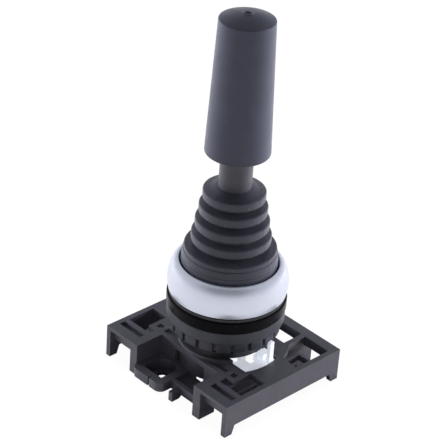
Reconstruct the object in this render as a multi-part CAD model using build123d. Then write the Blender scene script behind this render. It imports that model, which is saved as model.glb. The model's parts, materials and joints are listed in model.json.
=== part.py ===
"""Four way joystick head on a clip on base for contact blocks.

The stick leans about two crossed axes in a gimbal and springs back upright. Its rocker presses
one of four plungers down towards the contact blocks. Lengths are in millimetres. The origin is
on the stick's axis, level with the soles of the base's feet. X runs along the front edge.
"""
import os
from math import cos, radians, sin

from build123d import *

# Fits and clearances
running_fit = 0.05
press_fit = 0.02
skin_gap = 0.1
loose_gap = 0.3

# Stick and its lean
lean_deg = 12.0
pivot_z = 27.0
shaft_r = 4.0
shaft_waist_r = 3.3
shaft_waist_top_z = 31.0
shaft_flare = 3.0

# Grip
grip_top_z = 96.7
grip_low_z = 61.4
grip_low_r = 7.92
grip_top_r = 6.64
grip_dome = 1.5
grip_top_round = 0.7
grip_low_bevel = 0.4
gate_mark_r = 1.5
gate_mark_depth = 0.12

# Threaded bush inside the grip and the stud that it holds
stud_r = 2.5
bush_wall = 1.7
bush_length = 16.0
shaft_entry = 2.0

# Rubber boot, its folds named from the top
fold_top_z = (51.4, 47.3, 43.45, 39.8)
fold_height = 2.15
fold_r = (7.61, 8.32, 9.06, 9.74)
fold_crease_depth = 2.1
boot_wall = 0.9
boot_base_wall = 1.2
boot_base_top_z = 36.1
boot_base_top_r = 11.3
boot_step_height = 1.0
boot_step = 0.2
boot_foot_r = 12.9
boot_foot_height = 0.7
boot_neck_wall = 0.7
boot_neck_height = 0.9

# Housing, turned outline
stem_r = 11.15
stem_low_z = 10.0
stem_chamfer = 0.35
gasket_seat_z = 22.8
lip_inset = 0.45
lip_height = 0.7
head_shoulder_z = 28.4
head_collar_r = 10.6
head_top_z = 30.4
upper_bore_r = 9.35
lower_bore_r = 8.9
plunger_mouth_r = 8.0
guide_seat_z = 10.9

# Bayonet fingers below the stem
finger_angles = (90.0, 180.0, 270.0)
finger_span_deg = 40.0
finger_r = 9.1
finger_low_z = 3.0
finger_groove_depth = 0.55
finger_hook = 0.8
finger_hook_height = 1.3

# Bezel ring
bezel_low_z = 23.9
bezel_r = 14.85
bezel_flare = 0.3
bezel_skirt = 1.05
bezel_belly_z = 26.2
bezel_rise = 1.4
bezel_inner_r = 12.1
bezel_edge = 0.35

# Gasket and ring nut
gasket_inset = 0.05
gasket_low_z = 19.6
nut_flange_inset = 0.2
nut_flange_height = 3.3
nut_grip_inset = 0.8
nut_grip_height = 3.0
nut_chamfer = 0.3
notch_count = 20
notch_width = 0.9
notch_depth = 0.9

# Gimbal
gimbal_inner_r = 4.3
gimbal_outer_r = 6.3
gimbal_height = 2.8
pin_r = 1.0

# Rocker and its clip
rocker_low_z = 21.8
rocker_thickness = 1.4
rocker_hub_r = 4.6
rocker_arm_width = 3.2
rocker_boss_r = 3.4
rocker_boss_height = 0.6
spigot_r = 2.4
clip_thickness = 0.5
clip_r = 3.3
clip_groove_depth = 0.45
clip_mouth_width = 3.0

# Gate plate and the stick's tail
gate_low_z = 17.6
gate_thickness = 1.2
gate_corner_r = 1.2
tail_r = 1.1
tail_reach = 0.6
tail_cone = 0.7

# Plungers
plunger_circle_r = 6.8
plunger_r = 1.0
plunger_low_z = 2.4
plunger_play = 0.5
plunger_collar_r = 1.75
plunger_collar_z = 15.1
plunger_collar_height = 0.8
guide_thickness = 1.8
spring_pocket_depth = 0.8

# Springs
plunger_wire_r = 0.15
plunger_turns = 2
return_wire_r = 0.26
return_turns = 3
return_low_r = 4.7
return_top_r = 3.95
coil_points_per_turn = 8

# Base frame
frame_half_x = 21.8
frame_front_y = -19.4
frame_rear_y = 19.3
deck_top_z = 8.8
deck_thickness = 1.6
wall = 1.2
side_wall_thickness = 1.4
side_wall_low_z = 2.4
foot_sole = 2.3
foot_slope = 0.8
front_leg_x = (10.3, 12.8)
rear_leg_x = (11.1, 12.5)
leg_foot_length = 5.0
front_lip_height = 1.0
ledge_depth = 2.9
groove_width = 1.7
groove_depth = 0.9
strip_depth = 1.4
front_window_x = 15.3
front_window_rear_y = -5.4
rear_opening_y = 5.2
rear_rim_x = 16.5
rear_rim_y = 9.5
rear_rim_width = 0.6
rear_beam_depth = 2.9
rear_beam_height = 2.6
middle_opening_x = 3.0
middle_opening_y = 10.2
ridge_y = -11.3
ridge_thickness = 1.0
ridge_inner_x = 5.2
ridge_outer_x = 14.0
side_groove_y = (-9.9, -8.3)
side_groove_depth = 0.4
floor_low_z = 1.1
floor_thickness = 1.5
floor_front_y = -16.0

# Hub of the base
hub_r = 11.3
hub_top_z = 9.7
hub_bore_r = 10.2
hub_slot_y = -11.0
hub_slot_x = 5.4
hub_slot_top_z = 3.1
hub_ledge_low_z = 4.4
hub_ledge_top_z = 6.4
sight_notch_x = 10.8
sight_notch_y = (-1.5, 3.5)

# Screw tab
tab_x = (-10.4, 0.2)
tab_front_y = -21.0
tab_top_z = 3.6
tab_corner_r = 1.9
pocket_half_width = 3.2
pocket_centre = (-5.2, -15.1)
pocket_front_y = -18.6
pocket_floor_z = 0.8
screw_boss_wall = 0.9
screw_hole_r = 1.4
slit_x = -4.0
slit_width = 0.5
slit_depth = 0.6
toe_x = (2.2, 3.5)
toe_y = (-19.8, -17.5)

# Lock ring
lock_thickness = 1.4
lock_ring_r = 10.3
post_clearance = 0.2
lock_tab_y = (-5.6, 4.7)
lock_tab_root_x = 7.5
lock_tab_corner_r = 2.0
lock_slot_x = (8.0, 11.4)
lock_slot_y = (-1.6, 1.4)
lock_lug_span_deg = 18.0
lock_lug_lag_deg = 8.0
lock_turn_deg = 22.0
lock_well_back_deg = -35.0
lock_well_front_deg = 29.0
lever_post_angle = 8.0
lever_post_width = 1.6
lever_post_thickness = 0.9
lever_post_top_z = 14.4
ramp_x = (10.2, 12.4)
ramp_y = (1.8, 4.2)
ramp_height = 1.5

# Sizes that follow
bezel_low_r = bezel_r - bezel_flare
bezel_top_z = head_top_z + bezel_rise
head_r = bezel_low_r - bezel_skirt - skin_gap
gasket_r = bezel_r - gasket_inset
lip_r = gasket_r - lip_inset
nut_flange_r = gasket_r - nut_flange_inset
nut_grip_r = nut_flange_r - nut_grip_inset
grip_bore_r = shaft_r + running_fit
shaft_top_z = grip_low_z + shaft_entry
bush_r = stud_r + bush_wall
tail_low_z = gate_low_z - tail_reach
gate_half_width = (pivot_z - tail_low_z) * sin(radians(lean_deg)) + tail_r + loose_gap
rocker_reach = plunger_circle_r + plunger_r + skin_gap
rocker_top_z = rocker_low_z + rocker_thickness
rocker_boss_z = rocker_low_z - rocker_boss_height
clip_groove_top_z = rocker_boss_z - running_fit
clip_groove_z = clip_groove_top_z - clip_thickness - 2 * running_fit
finger_inner_r = plunger_mouth_r
nut_bore_r = stem_r + skin_gap
nut_flange_z = gasket_low_z - nut_flange_height
nut_low_z = nut_flange_z - nut_grip_height
gate_top_z = gate_low_z + gate_thickness
guide_top_z = guide_seat_z + guide_thickness
plunger_top_z = rocker_low_z - plunger_play
deck_low_z = deck_top_z - deck_thickness
side_wall_x = frame_half_x - side_wall_thickness
lock_low_z = hub_ledge_top_z + skin_gap
lock_top_z = lock_low_z + lock_thickness
cover_low_z = lock_top_z + skin_gap
lock_inner_r = finger_r + loose_gap
lock_lug_r = finger_r - finger_groove_depth + loose_gap
lock_tab_r = nut_grip_r + post_clearance + lever_post_thickness
lock_well_r = lock_tab_r + loose_gap
hub_ledge_r = finger_r + skin_gap
finger_groove_z = lock_low_z - 2 * skin_gap
finger_groove_height = lock_thickness + 4 * skin_gap
plunger_bevel = 0.4 * plunger_r
post_top_round = lever_post_width / 4
beyond = 1.0
plunger_sides = {"right": 0.0, "rear": 90.0, "left": 180.0, "front": 270.0}
upright = (Align.CENTER, Align.CENTER, Align.MIN)


def disc(radius, low, high, x=0.0, y=0.0):
    """Upright cylinder between two heights."""
    return Pos(x, y, low) * Cylinder(radius, high - low, align=upright)


def block(x_pair, y_pair, low, high):
    """Box between two places along each axis, given in either order."""
    x0, x1 = sorted(x_pair)
    y0, y1 = sorted(y_pair)
    corner = (Align.MIN, Align.MIN, Align.MIN)
    return Pos(x0, y0, low) * Box(x1 - x0, y1 - y0, high - low, align=corner)


def turned(*corners):
    """Solid turned about the stick's axis from (radius, height) corners."""
    return revolve(Plane.XZ * make_face(Polyline(*corners, close=True)), Axis.Z)


def tube(outer_r, inner_r, low, high):
    """Plain ring between two heights."""
    return turned((inner_r, low), (outer_r, low), (outer_r, high), (inner_r, high))


def slice_of(angle, span, reach, low, high):
    """Pie slice about the stick's axis, narrower than a quarter turn each side."""
    turns = [angle - span / 2, angle, angle + span / 2]
    rim = [(reach * cos(radians(t)), reach * sin(radians(t))) for t in turns]
    outline = make_face(Polyline((0, 0), *rim, close=True))
    return Pos(0, 0, low) * extrude(outline, high - low)


def side_plate(x_pair, corners):
    """Plate across X whose outline is given as (y, height) corners."""
    x0, x1 = sorted(x_pair)
    outline = make_face(Polyline(*corners, close=True))
    return Pos(x0, 0, 0) * extrude(Plane.YZ * outline, x1 - x0)


def coil(low, high, low_r, top_r, turns, wire_r):
    """Coil spring of square wire whose ends rest on the two heights."""
    start, rise = low + wire_r, high - low - 2 * wire_r
    steps = turns * coil_points_per_turn
    points = []
    for step in range(steps + 1):
        share = step / steps
        angle = radians(360 * turns * share)
        radius = low_r + (top_r - low_r) * share
        points.append((radius * cos(angle), radius * sin(angle), start + rise * share))
    path = Spline(*points)
    section = Plane(origin=path @ 0, z_dir=path % 0) * RegularPolygon(wire_r, 4)
    return sweep(section, path=path)


def x_pin(radius, x0, x1):
    """Round pin or bore along X through the pivot."""
    return Pos(x0, 0, pivot_z) * Rot(0, 90, 0) * Cylinder(radius, x1 - x0, align=upright)


def y_pin(radius, half_length):
    """Round pin or bore along Y through the pivot."""
    return Pos(0, 0, pivot_z) * Rot(90, 0, 0) * Cylinder(radius, 2 * half_length)


def grip():
    """Tapered handle with a slightly domed top, pressed on its bush."""
    crown_z = grip_top_z - grip_dome
    foot = Line((0, grip_low_z), (grip_low_r, grip_low_z))
    side = Line(foot @ 1, (grip_top_r, crown_z))
    crown = ThreePointArc(side @ 1, (grip_top_r / 2, crown_z + 0.75 * grip_dome), (0, grip_top_z))
    axis = Line(crown @ 1, foot @ 0)
    outline = make_face([foot, side, crown, axis])
    outline = fillet(outline.vertices().sort_by_distance(side @ 1)[0], grip_top_round)
    outline = chamfer(outline.vertices().sort_by_distance(side @ 0)[0], grip_low_bevel)
    body = revolve(Plane.XZ * outline, Axis.Z)
    body -= disc(grip_bore_r, grip_low_z, shaft_top_z + loose_gap)
    body -= disc(bush_r + press_fit, shaft_top_z, shaft_top_z + bush_length + 2 * loose_gap)
    return body - disc(gate_mark_r, grip_top_z - gate_mark_depth, grip_top_z + beyond)


def grip_bush():
    """Threaded metal bush moulded into the grip."""
    low = shaft_top_z + loose_gap
    return tube(bush_r, stud_r + running_fit, low, low + bush_length)


def stick_shaft():
    """Shaft from the stud in the grip down to the tail in the gate."""
    top = shaft_top_z + bush_length - loose_gap
    cone_z = clip_groove_z - tail_cone
    outline = [(0, tail_low_z), (tail_r, tail_low_z)]
    outline += [(tail_r, cone_z - tail_cone), (spigot_r, cone_z), (spigot_r, clip_groove_z)]
    outline += [(spigot_r - clip_groove_depth, clip_groove_z)]
    outline += [(spigot_r - clip_groove_depth, clip_groove_top_z), (spigot_r, clip_groove_top_z)]
    outline += [(spigot_r, rocker_top_z), (shaft_waist_r, rocker_top_z)]
    outline += [(shaft_waist_r, shaft_waist_top_z), (shaft_r, shaft_waist_top_z + shaft_flare)]
    outline += [(shaft_r, shaft_top_z), (stud_r, shaft_top_z), (stud_r, top), (0, top)]
    return turned(*outline) - y_pin(pin_r + press_fit, gimbal_outer_r)


def boot():
    """Rubber bellows from the shaft down to its foot under the bezel ring."""
    neck_r = shaft_r + running_fit
    neck_top_z = fold_top_z[0] + boot_neck_height
    outer = [(neck_r + boot_neck_wall, neck_top_z), (neck_r + boot_neck_wall, fold_top_z[0])]
    inner = [(neck_r, neck_top_z), (neck_r, fold_top_z[0])]
    next_tops = list(fold_top_z[1:]) + [boot_base_top_z]
    for top, radius, next_top in zip(fold_top_z, fold_r, next_tops):
        low = top - fold_height
        crease = (radius - fold_crease_depth, (low + next_top) / 2)
        outer += [(radius, top), (radius, low), crease]
        inner.append((max(crease[0] - boot_wall, neck_r + skin_gap), crease[1]))
    base_inner_r = boot_base_top_r - boot_base_wall
    step_z = boot_base_top_z - boot_step_height
    wall_r = bezel_inner_r - 2 * skin_gap
    foot_low_z = head_shoulder_z + skin_gap
    foot_top_z = foot_low_z + boot_foot_height
    outer += [(boot_base_top_r, boot_base_top_z), (boot_base_top_r, step_z)]
    outer += [(boot_base_top_r + boot_step, step_z - boot_step), (wall_r, bezel_top_z)]
    outer += [(wall_r, foot_top_z), (boot_foot_r, foot_top_z), (boot_foot_r, foot_low_z)]
    inner += [(base_inner_r, boot_base_top_z - boot_wall)]
    inner += [(head_collar_r + skin_gap, head_top_z + loose_gap)]
    inner += [(head_collar_r + skin_gap, foot_low_z)]
    return turned(*outer, *reversed(inner))


def bezel_ring():
    """Satin ring with a bulging outside, seated on the housing's head."""
    shoulder_z = head_shoulder_z + boot_foot_height + 2 * skin_gap
    under = Line((head_r + skin_gap, bezel_low_z), (bezel_low_r, bezel_low_z))
    skirt = Line(under @ 1, (bezel_r, bezel_belly_z))
    crown = TangentArc(skirt @ 1, (bezel_inner_r + bezel_edge, bezel_top_z), tangent=(0, 1))
    mouth = Polyline(
        crown @ 1,
        (bezel_inner_r, bezel_top_z - bezel_edge),
        (bezel_inner_r, shoulder_z),
        (head_r + skin_gap, shoulder_z),
        under @ 0,
    )
    return revolve(Plane.XZ * make_face([under, skirt, crown, mouth]), Axis.Z)


def finger(angle):
    """One bayonet finger, grooved for the lock ring and hooked under the hub's ledge."""
    hook_top_z = finger_low_z + finger_hook_height
    hook_r = finger_r + finger_hook
    strip = turned(
        (finger_inner_r, finger_low_z),
        (hook_r - finger_hook_height / 2, finger_low_z),
        (hook_r, finger_low_z + finger_hook_height / 2),
        (hook_r, hook_top_z),
        (finger_r, hook_top_z),
        (finger_r, stem_low_z),
        (finger_inner_r, stem_low_z),
    )
    groove_r = finger_r - finger_groove_depth
    groove_top_z = finger_groove_z + finger_groove_height
    strip -= tube(hook_r, groove_r, finger_groove_z, groove_top_z)
    return strip & slice_of(angle, finger_span_deg, 2 * hook_r, finger_low_z, stem_low_z)


def actuator_housing():
    """Stem and head in one moulding, with the gimbal's bores and the bayonet fingers."""
    lip_top_z = gasket_seat_z + lip_height
    body = turned(
        (plunger_mouth_r, stem_low_z),
        (stem_r - stem_chamfer, stem_low_z),
        (stem_r, stem_low_z + stem_chamfer),
        (stem_r, gasket_seat_z),
        (lip_r, gasket_seat_z),
        (lip_r, lip_top_z),
        (head_r, lip_top_z),
        (head_r, head_shoulder_z),
        (head_collar_r, head_shoulder_z),
        (head_collar_r, head_top_z),
        (upper_bore_r, head_top_z),
        (upper_bore_r, gate_low_z),
        (lower_bore_r, gate_low_z),
        (lower_bore_r, guide_seat_z),
        (plunger_mouth_r, guide_seat_z),
    )
    body -= x_pin(pin_r + running_fit, -frame_half_x, frame_half_x)
    for angle in finger_angles:
        body += finger(angle)
    return body


def panel_gasket():
    """Rubber washer that seals against the panel."""
    edge = loose_gap
    return turned(
        (stem_r + skin_gap, gasket_low_z),
        (gasket_r - edge, gasket_low_z),
        (gasket_r, gasket_low_z + edge),
        (gasket_r, gasket_seat_z - edge),
        (gasket_r - edge, gasket_seat_z),
        (stem_r + skin_gap, gasket_seat_z),
    )


def ring_nut():
    """Nut that clamps the panel, with a flange above a notched grip."""
    body = turned(
        (nut_bore_r, nut_low_z),
        (nut_grip_r - nut_chamfer, nut_low_z),
        (nut_grip_r, nut_low_z + nut_chamfer),
        (nut_grip_r, nut_flange_z),
        (nut_flange_r - nut_chamfer, nut_flange_z),
        (nut_flange_r, nut_flange_z + nut_chamfer),
        (nut_flange_r, gasket_low_z),
        (nut_bore_r, gasket_low_z),
    )
    notch_x = (nut_grip_r - notch_depth, nut_grip_r + beyond)
    notch_y = (-notch_width / 2, notch_width / 2)
    notch = block(notch_x, notch_y, nut_low_z, nut_flange_z)
    for index in range(notch_count):
        body -= Rot(0, 0, 360 * index / notch_count) * notch
    return body


def gimbal_ring():
    """Ring that carries the stick's pin and swings on its own two pins."""
    half = gimbal_height / 2
    body = tube(gimbal_outer_r, gimbal_inner_r, pivot_z - half, pivot_z + half)
    body -= x_pin(pin_r + press_fit, -gimbal_outer_r - beyond, gimbal_outer_r + beyond)
    return body - y_pin(pin_r + running_fit, gimbal_outer_r + beyond)


def gimbal_pins():
    """Two pins, fast in the gimbal ring, that turn in the housing's head."""
    inner = gimbal_inner_r + skin_gap
    outer = head_r - 2 * skin_gap
    return Compound(children=[x_pin(pin_r, inner, outer), x_pin(pin_r, -outer, -inner)])


def stick_pin():
    """Pin fast in the stick that turns in the gimbal ring."""
    return y_pin(pin_r, gimbal_outer_r - loose_gap)


def rocker_plate():
    """Cross with four arms, each over one plunger."""
    body = disc(rocker_hub_r, rocker_low_z, rocker_top_z)
    arm_y = (-rocker_arm_width / 2, rocker_arm_width / 2)
    arm = block((0, rocker_reach), arm_y, rocker_low_z, rocker_top_z)
    for angle in plunger_sides.values():
        body += Rot(0, 0, angle) * arm
    body += disc(rocker_boss_r, rocker_boss_z, rocker_low_z)
    return body - disc(spigot_r + press_fit, rocker_boss_z, rocker_top_z)


def rocker_clip():
    """Spring clip in the shaft's groove that keeps the rocker on."""
    inner_r = spigot_r - clip_groove_depth + running_fit
    low = clip_groove_z + running_fit
    body = tube(clip_r, inner_r, low, low + clip_thickness)
    mouth_y = (-clip_mouth_width / 2, clip_mouth_width / 2)
    return body - block((0, clip_r + beyond), mouth_y, low, low + clip_thickness)


def on_plunger_circle(piece):
    """Copies of a piece on the four plungers' axes."""
    spot = Pos(plunger_circle_r, 0, 0) * piece
    return [Rot(0, 0, angle) * spot for angle in plunger_sides.values()]


def gate_plate():
    """Plate with a square gate that stops the stick's tail."""
    body = disc(upper_bore_r - running_fit, gate_low_z, gate_top_z)
    outline = RectangleRounded(2 * gate_half_width, 2 * gate_half_width, gate_corner_r)
    body -= Pos(0, 0, gate_low_z) * extrude(outline, gate_thickness)
    for hole in on_plunger_circle(disc(plunger_r + running_fit, gate_low_z, gate_top_z)):
        body -= hole
    return body


def plunger_guide():
    """Floor of the housing that guides the plungers and seats their springs."""
    body = disc(lower_bore_r - running_fit, guide_seat_z, guide_top_z)
    pocket_z = guide_top_z - spring_pocket_depth
    hole = disc(plunger_r + running_fit, guide_seat_z, guide_top_z)
    hole += disc(plunger_collar_r + skin_gap, pocket_z, guide_top_z)
    for copy in on_plunger_circle(hole):
        body -= copy
    return body


def plunger(angle):
    """Plunger with bevelled ends and a collar for its spring."""
    collar_top_z = plunger_collar_z + plunger_collar_height
    rod = turned(
        (0, plunger_low_z),
        (plunger_r - plunger_bevel, plunger_low_z),
        (plunger_r, plunger_low_z + plunger_bevel),
        (plunger_r, plunger_collar_z),
        (plunger_collar_r, plunger_collar_z),
        (plunger_collar_r, collar_top_z),
        (plunger_r, collar_top_z),
        (plunger_r, plunger_top_z - plunger_bevel),
        (plunger_r - plunger_bevel, plunger_top_z),
        (0, plunger_top_z),
    )
    return Rot(0, 0, angle) * Pos(plunger_circle_r, 0, 0) * rod


def plunger_spring(angle):
    """Coil spring between the guide's pocket and a plunger's collar."""
    middle_r = (plunger_r + plunger_collar_r) / 2
    low = guide_top_z - spring_pocket_depth
    wire = coil(low, plunger_collar_z, middle_r, middle_r, plunger_turns, plunger_wire_r)
    return Rot(0, 0, angle) * Pos(plunger_circle_r, 0, 0) * wire


def return_spring():
    """Tapered coil spring that rights the rocker and the stick."""
    return coil(gate_top_z, rocker_low_z, return_low_r, return_top_r, return_turns, return_wire_r)


def lock_ring():
    """Turning ring that keeps the fingers in, with a tab and an upright finger post."""
    half = lever_post_width / 2
    tab_root = Pos((lock_tab_root_x + lock_tab_r) / 2, sum(lock_tab_y) / 2)
    tab_size = (lock_tab_r - lock_tab_root_x, lock_tab_y[1] - lock_tab_y[0])
    tab = Circle(lock_tab_r) & tab_root * Rectangle(*tab_size)
    tab = fillet(tab.vertices().sort_by(Axis.X)[-2:], lock_tab_corner_r)
    outline = (Circle(lock_ring_r) + tab) - Circle(lock_inner_r)
    body = Pos(0, 0, lock_low_z) * extrude(outline, lock_thickness)
    for angle in finger_angles:
        lug = tube(lock_inner_r + skin_gap, lock_lug_r, lock_low_z, lock_top_z)
        middle = angle - lock_lug_lag_deg
        body += lug & slice_of(middle, lock_lug_span_deg, lock_ring_r, lock_low_z, lock_top_z)
    body -= block(lock_slot_x, lock_slot_y, lock_low_z, lock_top_z)
    post_x = (lock_tab_r - lever_post_thickness, lock_tab_r)
    post = block(post_x, (-half, half), lock_low_z, lever_post_top_z)
    post = fillet(post.edges().filter_by(Axis.X).sort_by(Axis.Z)[-2:], post_top_round)
    body += (Rot(0, 0, lever_post_angle) * post) & disc(lock_tab_r, lock_low_z, lever_post_top_z)
    return body + block(ramp_x, ramp_y, lock_low_z, lock_top_z + ramp_height)


def side_wall(side):
    """Outer wall with a foot at each end."""
    front, rear = frame_front_y, frame_rear_y
    outline = [(front, 0), (front + foot_sole, 0), (front + foot_sole + foot_slope, side_wall_low_z)]
    outline += [(rear - foot_sole - foot_slope, side_wall_low_z), (rear - foot_sole, 0)]
    outline += [(rear, 0), (rear, deck_top_z), (front, deck_top_z)]
    return side_plate((side * side_wall_x, side * frame_half_x), outline)


def bay_wall(side):
    """Inner wall of an outer bay, thicker at its front leg."""
    front_x = [side * x for x in front_leg_x]
    rear_x = [side * x for x in rear_leg_x]
    step_y = frame_front_y + leg_foot_length
    front = [(frame_front_y, 0), (step_y, 0), (step_y, floor_low_z), (ridge_y, floor_low_z)]
    front += [(ridge_y, deck_top_z), (frame_front_y, deck_top_z)]
    rear_step_y = frame_rear_y - leg_foot_length
    rear = [(ridge_y, floor_low_z), (rear_step_y, floor_low_z), (rear_step_y, 0)]
    rear += [(frame_rear_y, 0), (frame_rear_y, deck_top_z), (ridge_y, deck_top_z)]
    return side_plate(front_x, front) + side_plate(rear_x, rear)


def deck_side_cuts(side):
    """Everything cut from the deck on one side of the middle."""
    groove_low_z = deck_top_z - groove_depth
    strip_y = frame_front_y + ledge_depth + groove_width
    window_front_y = strip_y + strip_depth
    edge_x = side * side_wall_x
    leg_x, window_x = side * front_leg_x[1], side * front_window_x
    ridge_x = (side * ridge_inner_x, side * ridge_outer_x)
    cuts = (
        ((window_x, edge_x), (window_front_y, front_window_rear_y), 0),
        ((leg_x, edge_x), (frame_front_y + ledge_depth, strip_y), groove_low_z),
        ((leg_x, window_x), (window_front_y, ridge_y), groove_low_z),
        (ridge_x, side_groove_y, deck_top_z - side_groove_depth),
    )
    front_gap_y = (frame_front_y, frame_front_y + wall)
    front_gap = block((leg_x, edge_x), front_gap_y, 0, deck_top_z - front_lip_height)
    return [front_gap, rear_bay(side)] + [block(*cut, deck_top_z + beyond) for cut in cuts]


def rear_bay(side):
    """Rear opening of an outer bay, less the deck over the lock ring and a small window's rim."""
    edge_x, rim_x = side * side_wall_x, side * rear_rim_x
    rim_edge_x = side * (rear_rim_x + rear_rim_width)
    rear_y = frame_rear_y - rear_beam_depth
    body = block((side * rear_leg_x[1], edge_x), (rear_opening_y, rear_y), 0, deck_top_z)
    body -= disc(lock_well_r + wall, 0, deck_top_z)
    body -= block((rim_x, rim_edge_x), (rear_opening_y, rear_rim_y), 0, deck_top_z)
    return body - block((rim_x, edge_x), (rear_rim_y, rear_rim_y + rear_rim_width), 0, deck_top_z)


def screw_tab():
    """Tab at the front that carries the screw pocket."""
    width = tab_x[1] - tab_x[0]
    depth = floor_front_y - tab_front_y
    place = ((tab_x[0] + tab_x[1]) / 2, tab_front_y + depth / 2)
    body = extrude(Pos(*place) * Rectangle(width, depth), tab_top_z - floor_low_z)
    front_edges = body.edges().filter_by(Axis.Z).sort_by(Axis.Y)[:2]
    body = Pos(0, 0, floor_low_z) * fillet(front_edges, tab_corner_r)
    body += block(tab_x, (floor_front_y, -hub_bore_r), floor_low_z, tab_top_z)
    return body + disc(pocket_half_width + screw_boss_wall, 0, floor_low_z, *pocket_centre)


def screw_cuts():
    """Squared round pocket, its screw hole and the slit in the tab's front."""
    centre_x, centre_y = pocket_centre
    pocket_x = (centre_x - pocket_half_width, centre_x + pocket_half_width)
    pocket = block(pocket_x, (pocket_front_y, centre_y), pocket_floor_z, tab_top_z)
    pocket += disc(pocket_half_width, pocket_floor_z, tab_top_z, centre_x, centre_y)
    hole = disc(screw_hole_r, 0, tab_top_z, centre_x, centre_y)
    slit_side = (slit_x - slit_width / 2, slit_x + slit_width / 2)
    slit = block(slit_side, (tab_front_y, tab_front_y + slit_depth), 0, tab_top_z)
    return pocket, hole, slit


def lock_space():
    """Room for the lock ring under the deck, with a mouth over its tab."""
    body = disc(lock_ring_r + 2 * skin_gap, hub_ledge_top_z, cover_low_z)
    start_deg = lock_well_back_deg - lock_turn_deg
    middle, span = (start_deg + lock_well_front_deg) / 2, lock_well_front_deg - start_deg
    well = disc(lock_well_r, hub_ledge_top_z, cover_low_z)
    well &= slice_of(middle, span, 2 * lock_well_r, 0, deck_top_z)
    body += well - block((0, lock_well_r), (frame_front_y, ridge_y + ridge_thickness), 0, deck_top_z)
    mouth_y = (lock_tab_y[0] - loose_gap, lock_tab_y[1] + loose_gap)
    mouth = block((0, lock_well_r), mouth_y, cover_low_z, hub_top_z)
    return body + (disc(lock_well_r, cover_low_z, hub_top_z) & mouth)


def base_frame():
    """Clip on base: deck, bays for contact blocks, hub for the stem and a screw tab."""
    whole_x = (-frame_half_x, frame_half_x)
    deck = block(whole_x, (frame_front_y, frame_rear_y), deck_low_z, deck_top_z)
    deck -= block((-front_leg_x[0], front_leg_x[0]), (frame_front_y, ridge_y), 0, deck_top_z)
    beam_y = (frame_rear_y - rear_beam_depth, frame_rear_y)
    deck += block(whole_x, beam_y, deck_top_z - rear_beam_height, deck_top_z)
    for side in (-1, 1):
        for cut in deck_side_cuts(side):
            deck -= cut
    floor_top_z = floor_low_z + floor_thickness
    inner_x = (-front_leg_x[1], front_leg_x[1])
    body = deck + block(inner_x, (floor_front_y, middle_opening_y), floor_low_z, floor_top_z)
    for side in (-1, 1):
        body += side_wall(side)
        body += bay_wall(side)
        ridge_x = (side * ridge_inner_x, side * ridge_outer_x)
        body += block(ridge_x, (ridge_y, ridge_y + ridge_thickness), floor_low_z, deck_top_z)
        opening_x = (side * middle_opening_x, side * rear_leg_x[0])
        body -= block(opening_x, (middle_opening_y, beam_y[0]), 0, deck_top_z)
    body += disc(hub_r, floor_low_z, hub_top_z)
    body -= disc(hub_bore_r, 0, hub_ledge_low_z)
    body -= disc(hub_ledge_r, hub_ledge_low_z, hub_ledge_top_z)
    body -= disc(lock_inner_r, hub_ledge_top_z, hub_top_z)
    body -= lock_space()
    body -= block((tab_x[1], hub_slot_x), (hub_slot_y, 0), 0, hub_slot_top_z)
    body -= block((0, sight_notch_x), sight_notch_y, hub_ledge_low_z, hub_ledge_top_z)
    body += screw_tab()
    for cut in screw_cuts():
        body -= cut
    bar_y = (floor_front_y - wall, floor_front_y)
    body += block((tab_x[1], front_leg_x[0]), bar_y, floor_low_z, tab_top_z)
    toe = [(toe_y[0], 0), (toe_y[1], 0), (floor_front_y, floor_low_z), (floor_front_y, floor_top_z)]
    toe += [(toe_y[0], floor_top_z)]
    return body + side_plate(toe_x, toe)


def build():
    """Write every piece to its own file."""
    os.makedirs("parts", exist_ok=True)
    pieces = {
        "grip": grip(),
        "grip_bush": grip_bush(),
        "stick_shaft": stick_shaft(),
        "stick_pin": stick_pin(),
        "rocker_plate": rocker_plate(),
        "rocker_clip": rocker_clip(),
        "gimbal_ring": gimbal_ring(),
        "gimbal_pins": gimbal_pins(),
        "boot": boot(),
        "bezel_ring": bezel_ring(),
        "actuator_housing": actuator_housing(),
        "panel_gasket": panel_gasket(),
        "ring_nut": ring_nut(),
        "gate_plate": gate_plate(),
        "plunger_guide": plunger_guide(),
        "return_spring": return_spring(),
        "lock_ring": lock_ring(),
        "base_frame": base_frame(),
    }
    for side, angle in plunger_sides.items():
        pieces["plunger_" + side] = plunger(angle)
        pieces["plunger_spring_" + side] = plunger_spring(angle)
    for name, shape in pieces.items():
        export_step(shape, "parts/" + name + ".step")


build()
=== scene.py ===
"""Looks of a four way joystick head on its clip on base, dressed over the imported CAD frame.

Lengths are in metres, in the frame of the CAD model. Small lengths are written in millimetres
and go through mm().
"""

import json
import math

import bmesh
import bpy
from bpy.props import FloatProperty, FloatVectorProperty, IntProperty, PointerProperty
from mathutils import Matrix, Vector

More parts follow.
